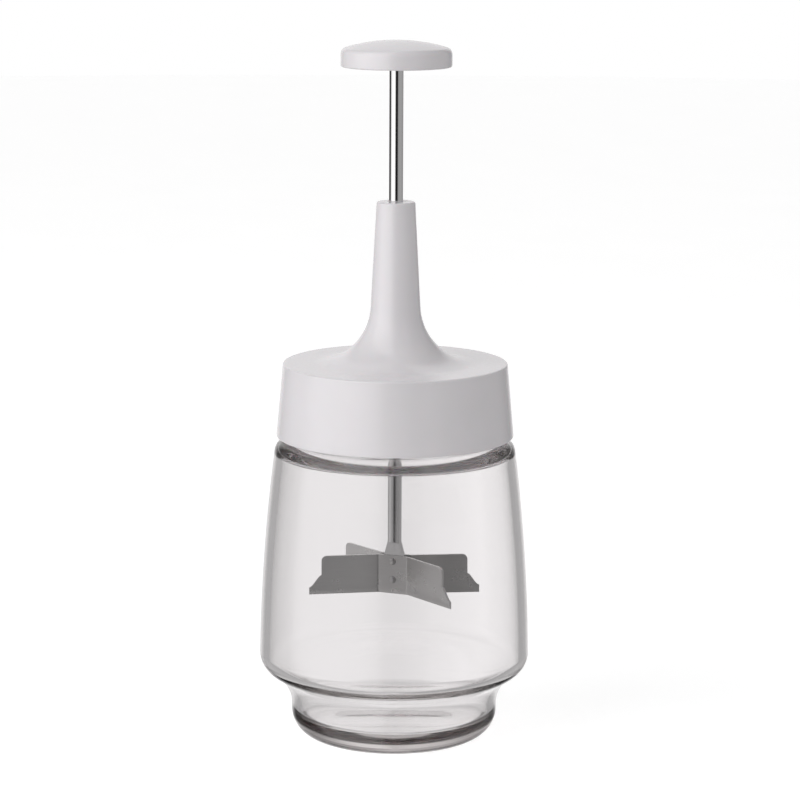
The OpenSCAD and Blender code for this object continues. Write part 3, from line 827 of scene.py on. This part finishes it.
def world():
    """Pure white to the camera. Gloss sees a white soft box on the camera's left and grey on its right, clear
    glass sees the white backdrop with a darker card on each side of it, and metal behind glass sees both
    dimmed."""
    made = bpy.data.worlds.new("studio")
    bpy.context.scene.world = made
    tree = Tree(made)
    background = tree.nodes["Background"]
    path = tree.node("ShaderNodeLightPath").outputs
    place = tree.node("ShaderNodeTexCoord").outputs["Generated"]
    turned = tree.node("ShaderNodeVectorRotate", {"Vector": place, "Angle": -math.radians(CAMERA_AZIMUTH)},
                       rotation_type="Z_AXIS").outputs["Vector"]
    way = tree.node("ShaderNodeSeparateXYZ", {"Vector": turned}).outputs
    azimuth = tree.maths("ARCTAN2", way["X"], tree.maths("MULTIPLY", way["Y"], -1.0))
    share = tree.maths("ADD", tree.maths("MULTIPLY", azimuth, 0.5 / math.pi), 0.5)
    box = around(tree, share, (-180, 0.9), (-160, 0.8), (-148, 0.1), (-120, 0.02), (-100, 0.04), (-86, 0.9),
                 (-70, 1.2), (-50, 1.3), (-26, 1.3), (-16, 0.9), (-9, 0.1), (-6, 0.01), (25, 0.01),
                 (31, 0.34), (60, 0.4), (125, 0.38), (140, 0.15), (152, 0.2), (165, 0.9), (180, 0.9))
    behind = around(tree, share, (-180, 0.88), (-173, 0.92), (-166, 0.88), (-158, 0.78), (-147, 0.58),
                    (-138, 0.5), (-128, 0.62), (-115, 0.85), (-60, 0.9), (0, 0.85), (60, 0.85), (115, 0.82),
                    (128, 0.58), (138, 0.44), (147, 0.56), (158, 0.86), (166, 1.0), (174, 1.02), (180, 0.88))
    dimmed = around(tree, share, (-180, 0.72), (-150, 0.52), (-125, 0.45), (-115, 0.32), (-107, 0.36),
                    (-96, 0.7), (-84, 0.6), (-60, 0.42), (-44, 0.42), (-26, 0.24), (-10, 0.05), (2, 0.05),
                    (14, 0.17), (26, 0.26), (50, 0.3), (100, 0.36), (125, 0.38), (150, 0.46), (180, 0.72))
    slope = tree.maths("ABSOLUTE", way["Z"])
    height = tree.ramp(slope, (0.35, grey(1.0)), (0.6, grey(0.8)), (1.0, grey(0.75)))
    behind = tree.mix(1.0, behind, height, "MULTIPLY")
    through = tree.mix(tree.maths("GREATER_THAN", path["Glossy Depth"], 0.5), behind, dimmed)
    # what the key lamp would give the lid's inside, which it can't reach through the glass
    through = tree.mix(tree.maths("GREATER_THAN", path["Diffuse Depth"], 0.5), through, grey(UNDER_LID_LIGHT))
    seen = tree.mix(path["Is Glossy Ray"], (1, 1, 1, 1), box)
    seen = tree.mix(path["Is Transmission Ray"], seen, through)
    tree.links.new(seen, background.inputs["Color"])
    fill = tree.node("ShaderNodeMapRange", {"Value": path["Is Diffuse Ray"], "To Min": 1.0,
                                            "To Max": WORLD_FILL})
    tree.links.new(fill.outputs["Result"], background.inputs["Strength"])


def floor():
    """A pale floor that shows white and keeps the foot's soft shadow."""
    rings, sides = 24, 64
    points, faces = [(0.0, 0.0, 0.0)], []
    for i in range(1, rings + 1):
        for k in range(sides):
            a = 2 * math.pi * k / sides
            r = FLOOR_R * (i / rings) ** 2
            points.append((r * math.cos(a), r * math.sin(a), 0.0))
    for k in range(sides):
        faces.append((0, 1 + k, 1 + (k + 1) % sides))
    for i in range(rings - 1):
        a, b = 1 + i * sides, 1 + (i + 1) * sides
        for k in range(sides):
            n = (k + 1) % sides
            faces.append((a + k, b + k, b + n, a + n))
    made = new_mesh("floor", points, faces)
    made.location.z = -FLOOR_DROP * MM
    shade = Shader("floor_paper")
    shade.put(Roughness=0.9)
    shade.vary(shade.noise(14.0), "Base Color", (0.3, grey(0.78)), (0.7, grey(0.8)))
    seen = shade.node("ShaderNodeLightPath").outputs["Is Camera Ray"]
    glow = shade.node("ShaderNodeEmission", {"Strength": shade.maths("MULTIPLY", seen, FLOOR_GLOW)})
    both = shade.node("ShaderNodeAddShader", {0: shade.shader.outputs["BSDF"], 1: glow.outputs["Emission"]})
    shade.links.new(both.outputs["Shader"], shade.nodes["Material Output"].inputs["Surface"])
    made.data.materials.append(shade.material)
    made.visible_glossy = False
    made.visible_transmission = False


PLASTIC = white_plastic()
STEEL = blade_steel()
SPRING_STEEL = spring_steel()

camera()
jar()
lid()
knob()
rod()
blade("blade_front_strip", 0, FRONT_WING_ANGLE, "blade_front")
blade("blade_back_strip", 180, BACK_WING_ANGLE, "blade_back")
rivet("rivet_upper", "blade_rivet_upper")
rivet("rivet_lower", "blade_rivet_lower")
spring()
dress("seal_ring", seal_rubber())
dress("spring_retainer", PLASTIC)
dress("spring_washer", SPRING_STEEL)
dress("retaining_clip", SPRING_STEEL)

world()
floor()
key_lamp()
paths = bpy.context.scene.cycles
paths.max_bounces = 24
paths.transmission_bounces = 24
paths.glossy_bounces = 16
paths.diffuse_bounces = 8

bpy.context.scene.view_settings.view_transform = "Standard"
bpy.context.view_layer.update()
